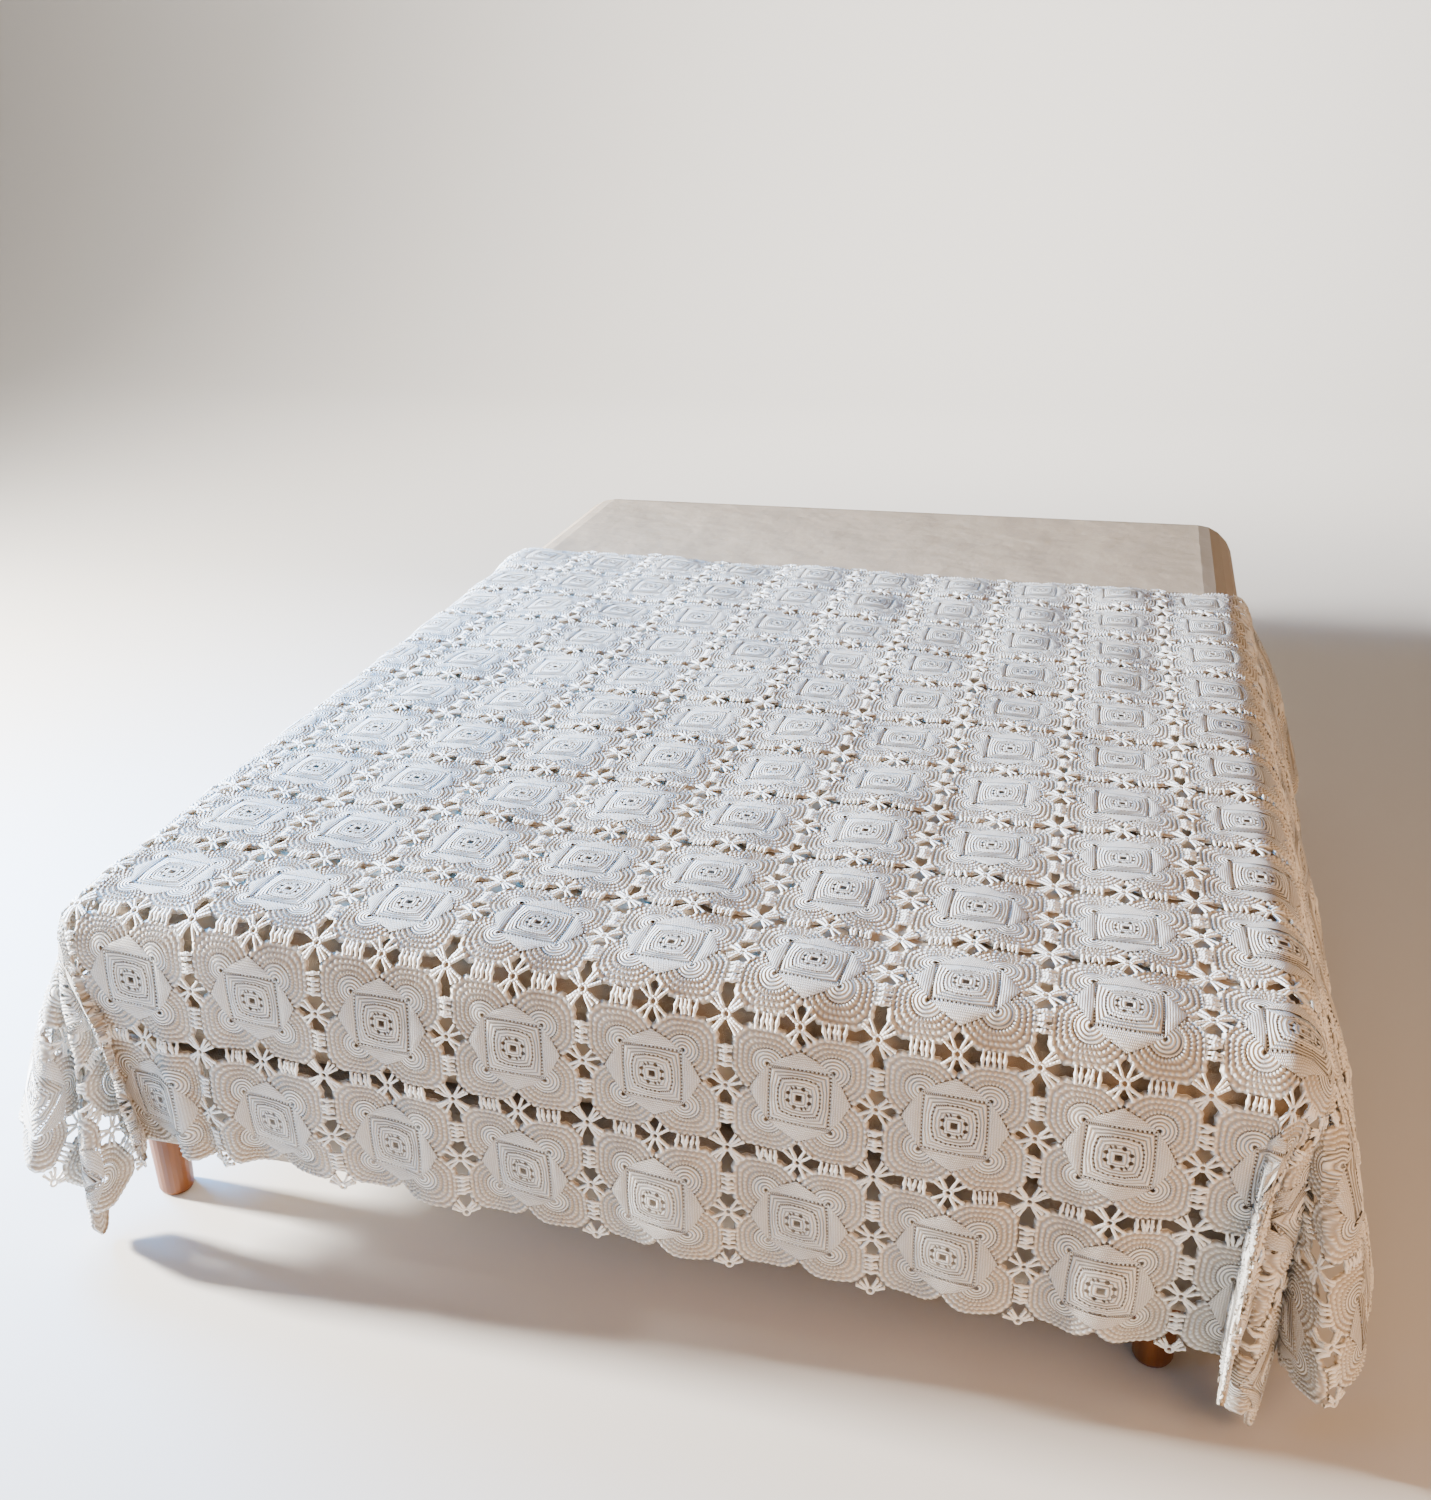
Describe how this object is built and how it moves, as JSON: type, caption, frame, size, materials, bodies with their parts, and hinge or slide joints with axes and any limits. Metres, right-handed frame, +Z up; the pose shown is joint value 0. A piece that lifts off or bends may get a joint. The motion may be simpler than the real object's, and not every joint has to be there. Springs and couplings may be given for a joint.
{
  "type": "crochet bedspread on a bed",
  "caption": "Crochet bedspread of joined square motifs with a scalloped hem, draped over a plain double bed on round wooden legs, with fluted corners.",
  "frame": {"origin": "middle of the bottom of the whole part's box, on the floor under the bed", "axes": "+X across the bed to its right side seen from the foot, +Y from the foot to the head, +Z up"},
  "size_m": [1.6168, 2.098, 0.4631],
  "materials": {
    "crochet_cotton": "matt white and cream crochet cotton",
    "mattress_cover": "matt beige sheet",
    "base_cover": "matt off-white upholstery",
    "leg_wood": "satin varnished orange-brown wood"
  },
  "bodies": {
    "root": {"bedspread": "crochet_cotton", "mattress": "mattress_cover", "bed_base": "base_cover", "leg_foot_left": "leg_wood", "leg_foot_right": "leg_wood", "leg_head_left": "leg_wood", "leg_head_right": "leg_wood"}
  },
  "joints": []
}
